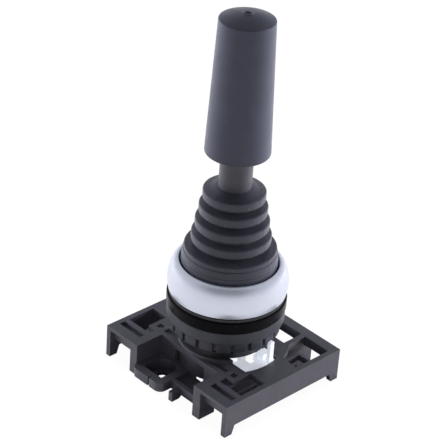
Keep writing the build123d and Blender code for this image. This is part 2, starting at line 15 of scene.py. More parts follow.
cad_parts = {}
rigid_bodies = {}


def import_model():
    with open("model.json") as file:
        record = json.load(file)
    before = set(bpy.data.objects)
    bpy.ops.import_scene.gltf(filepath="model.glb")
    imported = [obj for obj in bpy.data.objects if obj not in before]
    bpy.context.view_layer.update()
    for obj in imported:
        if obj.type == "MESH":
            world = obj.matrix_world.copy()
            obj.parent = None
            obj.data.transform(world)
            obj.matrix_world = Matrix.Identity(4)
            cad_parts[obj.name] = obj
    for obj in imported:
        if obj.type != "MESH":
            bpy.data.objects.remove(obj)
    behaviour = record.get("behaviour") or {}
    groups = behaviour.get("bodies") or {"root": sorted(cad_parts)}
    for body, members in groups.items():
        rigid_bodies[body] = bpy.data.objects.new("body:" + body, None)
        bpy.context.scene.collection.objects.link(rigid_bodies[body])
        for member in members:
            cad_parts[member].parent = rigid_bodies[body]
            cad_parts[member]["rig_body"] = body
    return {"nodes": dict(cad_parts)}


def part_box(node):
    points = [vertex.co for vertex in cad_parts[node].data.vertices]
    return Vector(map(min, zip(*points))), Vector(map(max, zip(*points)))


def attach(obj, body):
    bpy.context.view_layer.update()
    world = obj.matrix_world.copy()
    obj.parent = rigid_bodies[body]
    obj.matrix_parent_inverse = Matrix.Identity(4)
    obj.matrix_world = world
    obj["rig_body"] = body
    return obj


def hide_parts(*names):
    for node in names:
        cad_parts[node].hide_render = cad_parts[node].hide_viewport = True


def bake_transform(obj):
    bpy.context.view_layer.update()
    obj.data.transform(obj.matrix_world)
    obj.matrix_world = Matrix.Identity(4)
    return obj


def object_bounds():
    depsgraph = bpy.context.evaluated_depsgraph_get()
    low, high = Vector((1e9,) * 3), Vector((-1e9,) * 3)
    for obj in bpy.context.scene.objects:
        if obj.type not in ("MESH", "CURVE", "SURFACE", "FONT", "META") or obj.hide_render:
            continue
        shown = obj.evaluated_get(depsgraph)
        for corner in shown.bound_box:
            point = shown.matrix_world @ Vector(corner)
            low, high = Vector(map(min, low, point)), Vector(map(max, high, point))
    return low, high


bl_info = {
    "name": "Joystick Head Looks",
    "version": (1, 0, 0),
    "blender": (4, 5, 0),
    "location": "3D View > Sidebar > Joystick",
    "description": "Dresses a joystick head and its clip on base, and sets up its stage",
    "category": "Object",
}

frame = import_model()
cad_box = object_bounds()

AXIS_RADIUS = 1e-7
SHARP_ANGLE = math.radians(32)

# Sockets of a Mix node that are used for colours. Their names stand there more than once.
MIX_FACTOR, MIX_LOW, MIX_HIGH, MIX_RESULT = 0, 6, 7, 2

SIDES = ("right", "rear", "left", "front")

# Finish of each CAD node, those that a dressed piece stands for too
NODE_SLOTS = {
    "stick_shaft": "shaft_plastic",
    "grip_bush": "brass",
    "stick_pin": "steel",
    "gimbal_pins": "steel",
    "rocker_clip": "steel",
    "return_spring": "steel",
    "gimbal_ring": "inner_plastic",
    "rocker_plate": "inner_plastic",
    "gate_plate": "inner_plastic",
    "plunger_guide": "inner_plastic",
    **{"plunger_" + side: "white_plastic" for side in SIDES},
    **{"plunger_spring_" + side: "steel" for side in SIDES},
    "grip": "grip_plastic",
    "boot": "boot_rubber",
    "bezel_ring": "bezel_satin",
    "panel_gasket": "gasket_rubber",
    "ring_nut": "nut_plastic",
    "actuator_housing": "housing_plastic",
    "base_frame": "frame_plastic",
    "lock_ring": "white_plastic",
}

# Soft boxes: place to the right of the view, towards the camera and up, then height, in metres
SOFT_BOXES = {
    "right": (0.46, -0.22, 0.08, 0.16),
    "left": (-0.44, -0.26, 0.08, 0.16),
    "front": (0.0, 0.6, 0.2, 0.3),
}


def mm(length):
    """Millimetres as metres."""
    return length / 1000


def colour_property(name, description, default):
    """Colour setting of a finish, in linear light."""
    return FloatVectorProperty(
        name=name, description=description, default=default, subtype="COLOR", min=0, max=1
    )


def length_property(name, description, millimetres):
    """Length setting given in millimetres and kept in metres."""
    return FloatProperty(
        name=name, description=description, default=mm(millimetres), unit="LENGTH", precision=5
    )


def angle_property(name, description, degrees):
    """Angle setting given in degrees and kept in radians."""
    return FloatProperty(
        name=name, description=description, default=math.radians(degrees), subtype="ANGLE"
    )


class JoystickFinish(bpy.types.PropertyGroup):
    """Colours of the finishes."""

    grip: colour_property("Grip", "Matt moulded grip", (0.096, 0.101, 0.147))
    shaft: colour_property("Shaft", "Smooth moulded shaft", (0.102, 0.097, 0.12))
    boot: colour_property("Boot", "Soft rubber bellows", (0.082, 0.084, 0.112))
    bezel: colour_property("Bezel", "Satin silver ring", (0.79, 0.82, 0.94))
    gasket: colour_property("Gasket", "Rubber panel seal", (0.006, 0.006, 0.008))
    housing: colour_property("Housing", "Moulded stem and head", (0.02, 0.0205, 0.026))
    nut: colour_property("Ring nut", "Moulded ring nut", (0.053, 0.055, 0.071))
    base: colour_property("Base", "Fine grained moulded base", (0.098, 0.096, 0.12))
    lock: colour_property("Lock ring", "Pale translucent plastic", (0.84, 0.87, 0.92))
    inner: colour_property("Inner pieces", "Plain moulded inner pieces", (0.05, 0.05, 0.053))
    steel: colour_property("Steel", "Drawn spring and pin steel", (0.56, 0.56, 0.58))
    brass: colour_property("Brass", "Turned bush", (0.72, 0.52, 0.24))


class JoystickSizes(bpy.types.PropertyGroup):
    """Sizes of the fine forms that the looks add."""

    segments: IntProperty(
        name="Segments", description="Sides of each turned piece", default=160, min=24
    )
    edge: length_property("Edge", "Rounding of the moulded edges", 0.18)
    grip_dome: length_property("Grip dome", "Rise of the grip's top above its edge", 1.4)
    grip_crown: length_property("Grip crown", "Rounding round the top of the grip", 0.45)
    grip_foot: length_property("Grip foot", "Rounding round the foot of the grip", 0.45)
    grip_bore: length_property("Grip bore", "Radius of the bore over the shaft", 4.05)
    gate_mark: length_property("Gate mark", "Radius of the moulding mark on the grip", 1.3)
    bezel_bore: length_property("Bezel bore", "Radius inside the bezel", 12.1)
    bezel_belly: length_property("Bezel belly", "Height of the widest place of the bezel", 26.2)
    bezel_foot: length_property("Bezel foot", "How far the bezel draws in at its foot", 0.35)
    bezel_shelf: length_property("Bezel shelf", "Height of the bezel's shelf in the head", 29.3)
    head_radius: length_property("Head radius", "Bore of the bezel over the head", 13.5)
    band_top: length_property("Band top", "Radius of the boot's top band", 7.61)
    band_step: length_property("Band step", "Widening from one band to the next", 0.71)
    band_height: length_property("Band height", "Height of a band's outer face", 2.15)
    band_pitch: length_property("Band pitch", "Height from one band to the next", 3.87)
    band_rounding: length_property("Band rounding", "Rounding of a band's edges", 0.42)
    crease_depth: length_property("Crease depth", "Depth of the creases between bands", 2.0)
    boot_wall: length_property("Boot wall", "Thickness of the rubber in a crease", 0.3)
    boot_shoulder: length_property("Boot shoulder", "Height of the boot's base rim", 36.1)
    boot_shoulder_radius: length_property("Shoulder radius", "Radius of the base rim", 11.3)
    seam: length_property("Mould line", "How far the boot's mould line stands out", 0.06)
    thread_pitch: length_property("Thread pitch", "Pitch of the stem's thread", 1.5)
    thread_height: length_property("Thread height", "Height of the stem's thread", 0.28)


class JoystickStage(bpy.types.PropertyGroup):
    """Camera and lamps."""

    azimuth: angle_property("Azimuth", "Camera's turn from the front, to the right", 44.30)
    elevation: angle_property("Elevation", "Camera's height above the level", 38.14)
    distance: length_property("Distance", "From the camera to its target", 452.6)
    target: length_property("Target height", "Height of the camera's target", -25.16)
    pan: angle_property("Pan", "Camera's turn to the side of its target", 0.34)
    tilt: angle_property("Tilt", "Camera's turn above its target", 7.32)
    roll: angle_property("Roll", "Camera's turn about its own axis", 4.41)
    lens: FloatProperty(name="Lens", description="Focal length in millimetres", default=140.7)
    right: FloatProperty(name="Right", description="Right lamp's power in watts", default=4.3)
    left: FloatProperty(name="Left", description="Left lamp's power in watts", default=4.0)
    front: FloatProperty(name="Front", description="Front lamp's power in watts", default=0.3)
    sky: FloatProperty(name="Sky", description="Plain light from all sides", default=0.12)
    floor: FloatProperty(name="Floor", description="Shade of the floor in view", default=0.88)


class Value:
    """Number or colour in a node tree, worked on with Python's operators."""

    def __init__(self, book, socket):
        self.book, self.socket = book, socket

    def math(self, operation, *values):
        """Result of a Math node whose inputs are the given values."""
        inputs = dict(enumerate(values))
        return self.book.node("ShaderNodeMath", {"operation": operation}, inputs)

    def __add__(self, other):
        return self.math("ADD", self, other)

    def __sub__(self, other):
        return self.math("SUBTRACT", self, other)

    def __rsub__(self, other):
        return self.math("SUBTRACT", other, self)

    def __mul__(self, other):
        return self.math("MULTIPLY", self, other)

    def __gt__(self, other):
        return self.math("GREATER_THAN", self, other)

    __radd__ = __add__
    __rmul__ = __mul__

    def clipped(self):
        """The value held between 0 and 1."""
        settings = {"operation": "ADD", "use_clamp": True}
        return self.book.node("ShaderNodeMath", settings, {0: self, 1: 0.0})

    def magnitude(self):
        """The value without its sign."""
        return self.math("ABSOLUTE", self)

    def larger(self, other):
        """The larger of two values."""
        return self.math("MAXIMUM", self, other)


class NodeBook:
    """Nodes of one material or world."""

    def __init__(self, owner):
        owner.use_nodes = True
        self.tree = owner.node_tree
        self.tree.nodes.clear()

    def node(self, kind, settings=None, inputs=None, output=0):
        """New node of a type, with its settings made before its inputs."""
        made = self.tree.nodes.new(kind)
        for name, setting in (settings or {}).items():
            if name == "stops":
                self.set_stops(made.color_ramp, setting)
            else:
                setattr(made, name, setting)
        for name, value in (inputs or {}).items():
            if isinstance(value, Value):
                self.tree.links.new(value.socket, made.inputs[name])
            else:
                made.inputs[name].default_value = value
        return Value(self, made.outputs[output])

    @staticmethod
    def set_stops(ramp, stops):
        """Stops of a colour ramp as (place, grey) pairs."""
        while len(ramp.elements) < len(stops):
            ramp.elements.new(0.5)
        for element, (place, grey) in zip(ramp.elements, stops):
            element.position = place
            element.color = (grey, grey, grey, 1)

    def place(self):
        """Place on the object in metres."""
        return self.node("ShaderNodeTexCoord", output="Object")

    def direction(self):
        """Direction of a ray in a world."""
        return self.node("ShaderNodeTexCoord", output="Generated")

    def along(self, vector, axis):
        """Part of a vector along the axis X, Y or Z."""
        return self.node("ShaderNodeSeparateXYZ", None, {"Vector": vector}, output=axis)

    def ray(self, kind):
        """1 for light rays of a kind."""
        return self.node("ShaderNodeLightPath", output=f"Is {kind} Ray")

    def noise(self, cells, detail=2.0, roughness=0.5):
        """Noise with a number of cells in a metre."""
        inputs = {"Vector": self.place(), "Scale": cells, "Detail": detail}
        inputs["Roughness"] = roughness
        return self.node("ShaderNodeTexNoise", None, inputs)

    def ramp(self, value, *stops):
        """A value through a grey ramp."""
        return self.node("ShaderNodeValToRGB", {"stops": stops}, {"Fac": value})

    def mix(self, factor, low, high):
        """Colour between two colours."""
        inputs = {MIX_FACTOR: factor, MIX_LOW: low, MIX_HIGH: high}
        return self.node("ShaderNodeMix", {"data_type": "RGBA"}, inputs, output=MIX_RESULT)

    def shaded(self, pattern, colour, least, most):
        """A colour that a pattern makes darker and lighter, by the given factors."""
        return self.mix(pattern.clipped(), tinted(colour, least), tinted(colour, most))

    def bump(self, height, distance, strength=1.0, normal=None):
        """Normal of a surface raised by a height between 0 and 1."""
        inputs = {"Height": height, "Distance": distance, "Strength": strength}
        if normal:
            inputs["Normal"] = normal
        return self.node("ShaderNodeBump", None, inputs)

    def glow(self, colour, strength):
        """Even light of one colour, for a world."""
        return self.node("ShaderNodeBackground", None, {"Color": colour, "Strength": strength})

    def blended(self, factor, first, second):
        """Shader between two shaders."""
        return self.node("ShaderNodeMixShader", None, {0: factor, 1: first, 2: second})

    def principled(self, inputs):
        """Makes a Principled shader the material's surface."""
        self.surface(self.node("ShaderNodeBsdfPrincipled", None, inputs))

    def surface(self, shader, output="ShaderNodeOutputMaterial"):
        """Sends a shader to the output of the material, or of the world."""
        sink = self.tree.nodes.new(output)
        self.tree.links.new(shader.socket, sink.inputs["Surface"])


def tinted(colour, factor):
    """A colour made lighter or darker, with its alpha."""
    return (*(min(1.0, part * factor) for part in colour), 1.0)


def moulded(name, colour, roughness, grain, grain_depth, specks=0.0, shine=0.5):
    """Moulded plastic or rubber: fine grain, cloudy tone and dust specks."""
    material = bpy.data.materials.new(name)
    book = NodeBook(material)
    cloud = book.noise(cells=170, detail=4.0, roughness=0.6)
    grains = book.noise(cells=grain, detail=3.0, roughness=0.6)
    smear = book.noise(cells=420, detail=3.0, roughness=0.65)
    dust_level, dust_colour = 0.79, (0.3, 0.31, 0.33, 1)
    dust = book.noise(cells=2100, detail=1.0, roughness=0.4) > dust_level
    tone = book.shaded(cloud, colour, 0.82, 1.18)
    patches = book.ramp(smear, (0.35, 0.0), (0.7, 1.0))
    patch_swing = 0.06
    grained = book.bump(grains, mm(grain_depth))
    book.principled(
        {
            "Base Color": book.mix(dust * specks, tone, dust_colour),
            "Roughness": patches * (2 * patch_swing) + (roughness - patch_swing),
            "Normal": book.bump(cloud, distance=mm(0.05), strength=0.25, normal=grained),
            "Specular IOR Level": shine,
        }
    )
    return material


def satin_metal(name, colour, roughness):
    """Satin plated ring: even, with a very fine blasted grain."""
    material = bpy.data.materials.new(name)
    book = NodeBook(material)
    cloud = book.noise(cells=260, detail=3.0, roughness=0.6)
    blast = book.noise(cells=14000, detail=2.0, roughness=0.5)
    swing = 0.04
    book.principled(
        {
            "Base Color": book.shaded(cloud, colour, 0.96, 1.04),
            "Metallic": 0.8,
            "Roughness": cloud * (2 * swing) + (roughness - swing),
            "Normal": book.bump(blast, distance=mm(0.004)),
        }
    )
    return material


def pale_plastic(name, colour, roughness):
    """Pale plastic that lets some light through, with a faint painted glow that stands in for more
    light coming through it.
    """
    material = bpy.data.materials.new(name)
    book = NodeBook(material)
    cloud = book.noise(cells=300, detail=4.0, roughness=0.6)
    ripple = book.noise(cells=900, detail=2.0)
    swing = 0.08
    book.principled(
        {
            "Base Color": book.shaded(cloud, colour, 0.9, 1.1),
            "Roughness": cloud * (2 * swing) + (roughness - swing),
            "Subsurface Weight": 0.35,
            "Subsurface Radius": (1.0, 1.0, 1.0),
            "Subsurface Scale": mm(0.8),
            # Painted glow: this constant emission stands in for light let through the plastic; the
            # ring is no lamp
            "Emission Color": (0.86, 0.9, 1, 1),
            "Emission Strength": 0.46,
            "Normal": book.bump(ripple, distance=mm(0.03), strength=0.5),
        }
    )
    return material


def bare_metal(name, colour, roughness):
    """Drawn or turned metal with fine marks."""
    material = bpy.data.materials.new(name)
    book = NodeBook(material)
    marks = book.noise(cells=3500, detail=3.0, roughness=0.7)
    swing = 0.1
    book.principled(
        {
            "Base Color": book.shaded(marks, colour, 0.8, 1.15),
            "Metallic": 1.0,
            "Roughness": marks * (2 * swing) + (roughness - swing),
            "Normal": book.bump(marks, distance=mm(0.01)),
        }
    )
    return material


# Maker, colour setting and the maker's other settings of each finish. Grain is in cells to
# the metre and its depth in millimetres.
FINISHES = {
    "grip_plastic": (
        moulded,
        "grip",
        {"roughness": 0.36, "grain": 5200, "grain_depth": 0.02, "specks": 0.5, "shine": 0.35},
    ),
    "shaft_plastic": (
        moulded,
        "shaft",
        {"roughness": 0.45, "grain": 4200, "grain_depth": 0.012, "specks": 0.2},
    ),
    "boot_rubber": (
        moulded,
        "boot",
        {"roughness": 0.33, "grain": 3600, "grain_depth": 0.014, "specks": 1.0, "shine": 0.35},
    ),
    "bezel_satin": (satin_metal, "bezel", {"roughness": 0.33}),
    "gasket_rubber": (
        moulded,
        "gasket",
        {"roughness": 0.25, "grain": 3000, "grain_depth": 0.006, "specks": 0.4, "shine": 0.05},
    ),
    "housing_plastic": (
        moulded,
        "housing",
        {"roughness": 0.42, "grain": 5000, "grain_depth": 0.012, "specks": 0.3},
    ),
    "nut_plastic": (
        moulded,
        "nut",
        {"roughness": 0.47, "grain": 5200, "grain_depth": 0.02, "specks": 0.3},
    ),
    "frame_plastic": (
        moulded,
        "base",
        {"roughness": 0.5, "grain": 5600, "grain_depth": 0.03, "specks": 0.35},
    ),
    "white_plastic": (pale_plastic, "lock", {"roughness": 0.3}),
    "inner_plastic": (moulded, "inner", {"roughness": 0.5, "grain": 5000, "grain_depth": 0.02}),
    "steel": (bare_metal, "steel", {"roughness": 0.38}),
    "brass": (bare_metal, "brass", {"roughness": 0.4}),
}


def finish_of(slot):
    """Material of a slot, made when it is first asked for."""
    name = slot + "_look"
    made = bpy.data.materials.get(name)
    if not made:
        maker, colour, settings = FINISHES[slot]
        made = maker(name, getattr(bpy.context.scene.joystick_finish, colour), **settings)
    return made


def span(node, axis=2):
    """Lowest and highest place of a CAD node along an axis."""
    low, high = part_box(node)
    return low[axis], high[axis]


def reach(node):
    """Outer radius of a CAD node that is turned about the stick's axis."""
    return span(node, 0)[1]


def rounded(corners, steps=6):
    """Outline through (radius, height, rounding) corners, each rounding drawn as an arc.

    A rounding takes no more than its share of the shorter side beside it.
    """
    points = []
    cut_share = 0.48
    for index, (radius, height, rounding) in enumerate(corners):
        here = Vector((radius, height))
        before = Vector(corners[index - 1][:2]) - here
        after = Vector(corners[(index + 1) % len(corners)][:2]) - here
        turn = before.angle(after)
        if not rounding:
            points.append(here)
            continue
        longest = cut_share * min(before.length, after.length)
        cut = min(rounding / math.tan(turn / 2), longest)
        ways = before.normalized(), after.normalized()
        to_centre = cut / math.cos(turn / 2)
        centre = here + (ways[0] + ways[1]).normalized() * to_centre
        start, end = here + ways[0] * cut - centre, here + ways[1] * cut - centre
        sweep = start.angle(end)
        for step in range(steps + 1):
            share = step / steps
            spot = start * math.sin((1 - share) * sweep) + end * math.sin(share * sweep)
            points.append(centre + spot / math.sin(sweep))
    return points


def new_object(name, shape, slot, body=None, node=None):
    """Object made from a bmesh, finished, seated on a body and standing for a CAD node."""
    mesh = bpy.data.meshes.new(name)
    bmesh.ops.recalc_face_normals(shape, faces=shape.faces)
    shape.to_mesh(mesh)
    shape.free()
    mesh.polygons.foreach_set("use_smooth", [True] * len(mesh.polygons))
    mesh.set_sharp_from_angle(angle=SHARP_ANGLE)
    piece = bpy.data.objects.new(name, mesh)
    bpy.context.scene.collection.objects.link(piece)
    piece.data.materials.append(finish_of(slot))
    if body:
        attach(piece, body)
    if node:
        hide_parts(node)
    return piece


def turned(outline, closed=True, swell=None):
    """Bmesh turned about the stick's axis from (radius, height) points."""
    sides = bpy.context.scene.joystick_sizes.segments
    shape = bmesh.new()
    rings = []
    for radius, height in outline:
        if radius < AXIS_RADIUS:
            rings.append([shape.verts.new((0, 0, height))] * sides)
            continue
        ring = []
        for side in range(sides):
            angle = math.tau * side / sides
            out = radius + (swell(angle, radius) if swell else 0)
            spot = (out * math.cos(angle), out * math.sin(angle), height)
            ring.append(shape.verts.new(spot))
        rings.append(ring)
    pairs = list(zip(rings, rings[1:]))
    if closed:
        pairs.append((rings[-1], rings[0]))
    for lower, upper in pairs:
        for side in range(sides):
            after = (side + 1) % sides
            face = dict.fromkeys((lower[side], lower[after], upper[after], upper[side]))
            if len(face) > 2:
                shape.faces.new(face)
    return shape


def even_shading(piece):
    """Keeps the shading of wide faces flat beside fine roundings."""
    shading = piece.modifiers.new("even_shading", "WEIGHTED_NORMAL")
    shading.keep_sharp = True
    return piece


def round_edges(piece, width):
    """Adds a bevel of two steps to a piece's edges."""
    rounding = piece.modifiers.new("rounded_edges", "BEVEL")
    rounding.width, rounding.segments = width, 2
    return rounding


def dressed(node, name, slot, edge):
    """Copy of a CAD node whose moulded edges are rounded, standing for that node."""
    source = frame["nodes"][node]
    shape = bmesh.new()
    shape.from_mesh(source.data)
    same_place, flat, edge_angle = mm(0.002), math.radians(0.5), math.radians(40)
    bmesh.ops.remove_doubles(shape, verts=shape.verts, dist=same_place)
    bmesh.ops.dissolve_limit(
        shape, angle_limit=flat, verts=shape.verts, edges=shape.edges, use_dissolve_boundaries=False
    )
    piece = new_object(name, shape, slot, source["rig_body"], node)
    rounding = round_edges(piece, edge)
    rounding.limit_method = "ANGLE"
    rounding.angle_limit = edge_angle
    rounding.use_clamp_overlap = True
    rounding.harden_normals = True
    return piece


class JOYSTICK_OT_grip(bpy.types.Operator):
    """Make the tapered grip with its rounded crown and moulding mark"""

    bl_idname = "joystick.grip"
    bl_label = "Grip"

    TAPER = 0.838  # Radius of the grip's top as a share of its foot's
    DOME_DROP = mm(0.1)  # From the grip's highest place down to the dome's middle
    DENT, BRIM = mm(0.34), mm(0.02)  # The mark's floor and rim below the highest place
    BORE_LENGTH = mm(2.3)

    def execute(self, context):
        sizes = context.scene.joystick_sizes
        low, high = span("grip")
        wide = reach("grip")
        narrow = wide * self.TAPER
        dome_steps = 12
        edge = high - sizes.grip_dome - self.DOME_DROP
        bore, bore_end = sizes.grip_bore, low + self.BORE_LENGTH
        mark, dent, brim = sizes.gate_mark, high - self.DENT, high - self.BRIM
        dome = [mark + (narrow - mark) * step / dome_steps for step in range(dome_steps)]
        corners = [
            (0, dent, 0),
            (mark * 0.35, dent, mm(0.05)),
            (mark * 0.6, brim, mm(0.12)),
            (mark * 0.85, brim, mm(0.12)),
            *(
                (out, high - self.DOME_DROP - sizes.grip_dome * (out / narrow) ** 2, 0)
                for out in dome
            ),
            (narrow, edge, sizes.grip_crown),
            (wide, low, sizes.grip_foot),
            (bore, low, mm(0.2)),
            (bore, bore_end, 0),
            (0, bore_end, 0),
        ]
        shape = turned(rounded(corners), closed=False)
        even_shading(new_object("grip_shell", shape, "grip_plastic", "stick", "grip"))
        return {"FINISHED"}


class JOYSTICK_OT_boot(bpy.types.Operator):
    """Make the rubber bellows in two lengths"""

    bl_idname = "joystick.boot"
    bl_label = "Rubber boot"

    BANDS, UPPER_BANDS = 4, 3
    UNDER_BAND, OVER_BAND = mm(0.5), mm(0.4)  # Slopes into a crease, under and over a band
    # Corners of the base rim's two thin steps: how far out of the rim and how far below its
    # shoulder they lie, in millimetres
    RIM_STEPS = ((0.46, 3.2), (0.34, 3.0), (0.22, 1.35), (0, 1.15))

    def execute(self, context):
        sizes = context.scene.joystick_sizes
        pieces = []
        upper, lower = self.outlines(sizes)
        for name, corners in (("boot_upper", upper), ("boot_lower", lower)):
            shape = turned(rounded(corners), swell=self.mould_line(sizes))
            piece = new_object(name, shape, "boot_rubber")
            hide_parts("boot")
            pieces.append(even_shading(piece))
        held_by_stick = (0, 0, span("boot")[1] - mm(4.5))
        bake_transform(pieces[0])
        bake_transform(pieces[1])
        return {"FINISHED"}

    @staticmethod
    def mould_line(sizes):
        """Swelling of two thin mould lines at opposite sides."""
        line_angle, thinness = math.radians(12), 24
        least_radius = sizes.band_top * 0.6

        def swell(angle, radius):
            near = abs(math.sin(angle - line_angle))
            return sizes.seam * max(0, 1 - near * thinness) if radius > least_radius else 0

        return swell

    def bands(self, sizes, first, last):
        """Outer corners of some bands, and of the creases under them, from the foot up."""
        corners = []
        for index in range(first, last):
            radius, top = sizes.band_top + index * sizes.band_step, self.band_edge(sizes, index)
            foot, crease = top - sizes.band_height, radius - sizes.crease_depth
            corners += [(radius, top, sizes.band_rounding), (radius, foot, sizes.band_rounding)]
            if index != self.UPPER_BANDS - 1:
                next_top = top - sizes.band_pitch
                corners.append((crease, foot - self.UNDER_BAND, mm(0.2)))
                corners.append((crease, next_top + self.OVER_BAND, mm(0.2)))
        return list(reversed(corners))

    @staticmethod
    def band_edge(sizes, index):
        """Height of a band's top edge."""
        return span("boot")[1] - mm(0.9) - index * sizes.band_pitch

    def outlines(self, sizes):
        """Corners of the upper and the lower length, which meet in a crease."""
        low, high = span("boot")
        split, last = self.UPPER_BANDS, self.BANDS - 1
        shaft = reach("stick_shaft") + mm(0.05)
        tops = [self.band_edge(sizes, index) for index in range(self.BANDS)]
        creases = [
            sizes.band_top + index * sizes.band_step - sizes.crease_depth
            for index in range(self.BANDS)
        ]
        bores = [crease - sizes.boot_wall for crease in creases]
        foot = tops[split - 1] - sizes.band_height
        seam_z = (tops[split] + foot) / 2
        seam_out = creases[split - 1] + mm(0.4)
        seam_in = seam_out - mm(0.25)
        upper = [
            (seam_in, seam_z, 0),
            (seam_out, seam_z, 0),
            (seam_out, foot - self.UNDER_BAND, mm(0.1)),
            *self.bands(sizes, 0, split),
            (shaft + mm(1.9), tops[0] + mm(0.3), mm(0.8)),
            (shaft + mm(0.5), high - mm(0.1), mm(0.3)),
            (shaft + mm(0.02), high, 0),
            (shaft + mm(0.02), tops[0] - mm(0.4), 0),
            (bores[0], tops[1] + mm(0.3), 0),
            (bores[1], tops[2] + mm(0.3), 0),
            (seam_in - mm(0.1), tops[2] - mm(0.6), 0),
        ]
        rim, shoulder = sizes.boot_shoulder_radius, sizes.boot_shoulder
        flange = sizes.bezel_bore - mm(0.25)
        lower = [
            (seam_out, seam_z, 0),
            (seam_in, seam_z, 0),
            (bores[last], tops[last], 0),
            (bores[last], shoulder - mm(0.4), 0),
            (rim - mm(1.2), shoulder - mm(1.0), 0),
            (flange - mm(1.0), low, 0),
            (flange, low, 0),
            (flange, span("bezel_ring")[1] - mm(0.3), mm(0.2)),
            *((rim + mm(out), shoulder - mm(down), mm(0.08)) for out, down in self.RIM_STEPS),
            (rim, shoulder, mm(0.35)),
            *self.bands(sizes, split, self.BANDS),
            (seam_out, tops[split] + self.OVER_BAND, mm(0.1)),
        ]
        return upper, lower


class JOYSTICK_OT_bezel(bpy.types.Operator):
    """Make the satin ring with its bulging outside"""

    bl_idname = "joystick.bezel"
    bl_label = "Bezel ring"

    def execute(self, context):
        sizes = context.scene.joystick_sizes
        low, high = span("bezel_ring")
        wide = reach("bezel_ring")
        bore, belly = sizes.bezel_bore, sizes.bezel_belly
        head, shelf = sizes.head_radius, sizes.bezel_shelf
        foot, lip = wide - sizes.bezel_foot, bore + mm(0.3)
        foot_steps, crown_steps = 8, 24
        outline = [Vector((head, low)), Vector((foot - mm(0.15), low))]
        for step in range(foot_steps + 1):
            share = step / foot_steps
            rise = math.sin(share * math.pi / 2)
            outline.append(Vector((foot + sizes.bezel_foot * rise, low + (belly - low) * share)))
        for step in range(1, crown_steps + 1):
            angle = math.radians(90 * step / crown_steps)
            out = lip + (wide - lip) * math.cos(angle)
            outline.append(Vector((out, belly + (high - belly) * math.sin(angle))))
        outline += [Vector((bore, high - mm(0.3))), Vector((bore, shelf)), Vector((head, shelf))]
        piece = new_object("bezel_shell", turned(outline), "bezel_satin", "housing", "bezel_ring")
        even_shading(piece)
        return {"FINISHED"}


class JOYSTICK_OT_seal_and_nut(bpy.types.Operator):
    """Make the panel seal and the notched ring nut"""

    bl_idname = "joystick.seal_and_nut"
    bl_label = "Seal and ring nut"

    def execute(self, context):
        sizes = context.scene.joystick_sizes
        low, high = span("panel_gasket")
        wide = reach("panel_gasket")
        bore, edge = wide - mm(3.5), mm(0.5)
        corners = [(bore, low, 0), (wide, low, edge), (wide, high, edge), (bore, high, 0)]
        shape = turned(rounded(corners))
        seal = new_object("gasket_shell", shape, "gasket_rubber", "housing", "panel_gasket")
        even_shading(seal)
        dressed("ring_nut", "ring_nut_shell", "nut_plastic", sizes.edge)
        return {"FINISHED"}


class JOYSTICK_OT_housing(bpy.types.Operator):
    """Dress the housing and cut its stem's thread"""

    bl_idname = "joystick.housing"
    bl_label = "Housing and thread"

    def execute(self, context):
        sizes = context.scene.joystick_sizes
        dressed("actuator_housing", "housing_shell", "housing_plastic", sizes.edge)
        new_object("stem_thread", self.thread(sizes), "housing_plastic", "housing")
        return {"FINISHED"}

    @staticmethod
    def thread(sizes):
        """Helical ridge on the stem below the ring nut."""
        stem, sunk, pitch = mm(11.15), mm(0.1), sizes.thread_pitch
        low, high = span("actuator_housing")[0] + mm(7.6), span("ring_nut")[0] - mm(0.2)
        sides, half, crest_half = sizes.segments, pitch * 0.32, pitch * 0.112
        steps = int((high - low) / pitch * sides)
        run_out, least_height = 12, 0.05
        shape = bmesh.new()
        rows = []
        for step in range(steps + 1):
            angle = math.tau * step / sides
            middle = low + pitch * step / sides
            fade = min(1, step / run_out, ((high - low) / pitch * sides - step) / run_out)
            crest, root = stem + sizes.thread_height * max(least_height, fade), stem - sunk
            spots = ((root, -half), (crest, -crest_half), (crest, crest_half), (root, half))
            rows.append(
                [
                    shape.verts.new((r * math.cos(angle), r * math.sin(angle), middle + z))
                    for r, z in spots
                ]
            )
        corners = len(rows[0])
        for lower, upper in zip(rows, rows[1:]):
            for corner in range(corners):
                after = (corner + 1) % corners
                shape.faces.new((lower[corner], lower[after], upper[after], upper[corner]))
        shape.faces.new(rows[0])
        shape.faces.new(rows[-1])
        return shape


class JOYSTICK_OT_base(bpy.types.Operator):
    """Dress the base frame, with its inner ribs, and the pale lock ring"""

    bl_idname = "joystick.base"
    bl_label = "Base and lock ring"

    # Spans along X, Y and Z of the right side's ribs, in millimetres
    CROSS_RIB = ((12.6, 20.5), (-18.1, -17.3), (4.9, 7.4))
    SILL = ((11.3, 12.8), (-11.6, 5.4), (0.3, 1.6))

    def execute(self, context):
        edge = context.scene.joystick_sizes.edge
        dressed("base_frame", "base_frame_shell", "frame_plastic", edge)
        dressed("lock_ring", "lock_ring_shell", "white_plastic", edge)
        ribs = new_object("base_ribs", self.ribs(), "frame_plastic", "housing")
        round_edges(ribs, edge * 0.6)
        return {"FINISHED"}

    @classmethod
    def ribs(cls):
        """Cross ribs behind the front windows and sills between the legs' inner walls."""
        shape = bmesh.new()
        for side in (-1, 1):
            for spans in (cls.CROSS_RIB, cls.SILL):
                middle = [mm(sum(ends) / 2) for ends in spans]
                size = [mm(ends[1] - ends[0]) for ends in spans]
                middle[0] *= side
                place = Matrix.Translation(middle) @ Matrix.Diagonal((*size, 1))
                bmesh.ops.create_cube(shape, size=1, matrix=place)
        return shape


class JOYSTICK_OT_inner(bpy.types.Operator):
    """Finish the shaft, the gimbal, the plungers, the springs and the solids that are hidden"""

    bl_idname = "joystick.inner"
    bl_label = "Shaft and inner pieces"

    def execute(self, context):
        for node, slot in NODE_SLOTS.items():
            piece = frame["nodes"][node]
            piece.data.materials.clear()
            piece.data.materials.append(finish_of(slot))
        return {"FINISHED"}


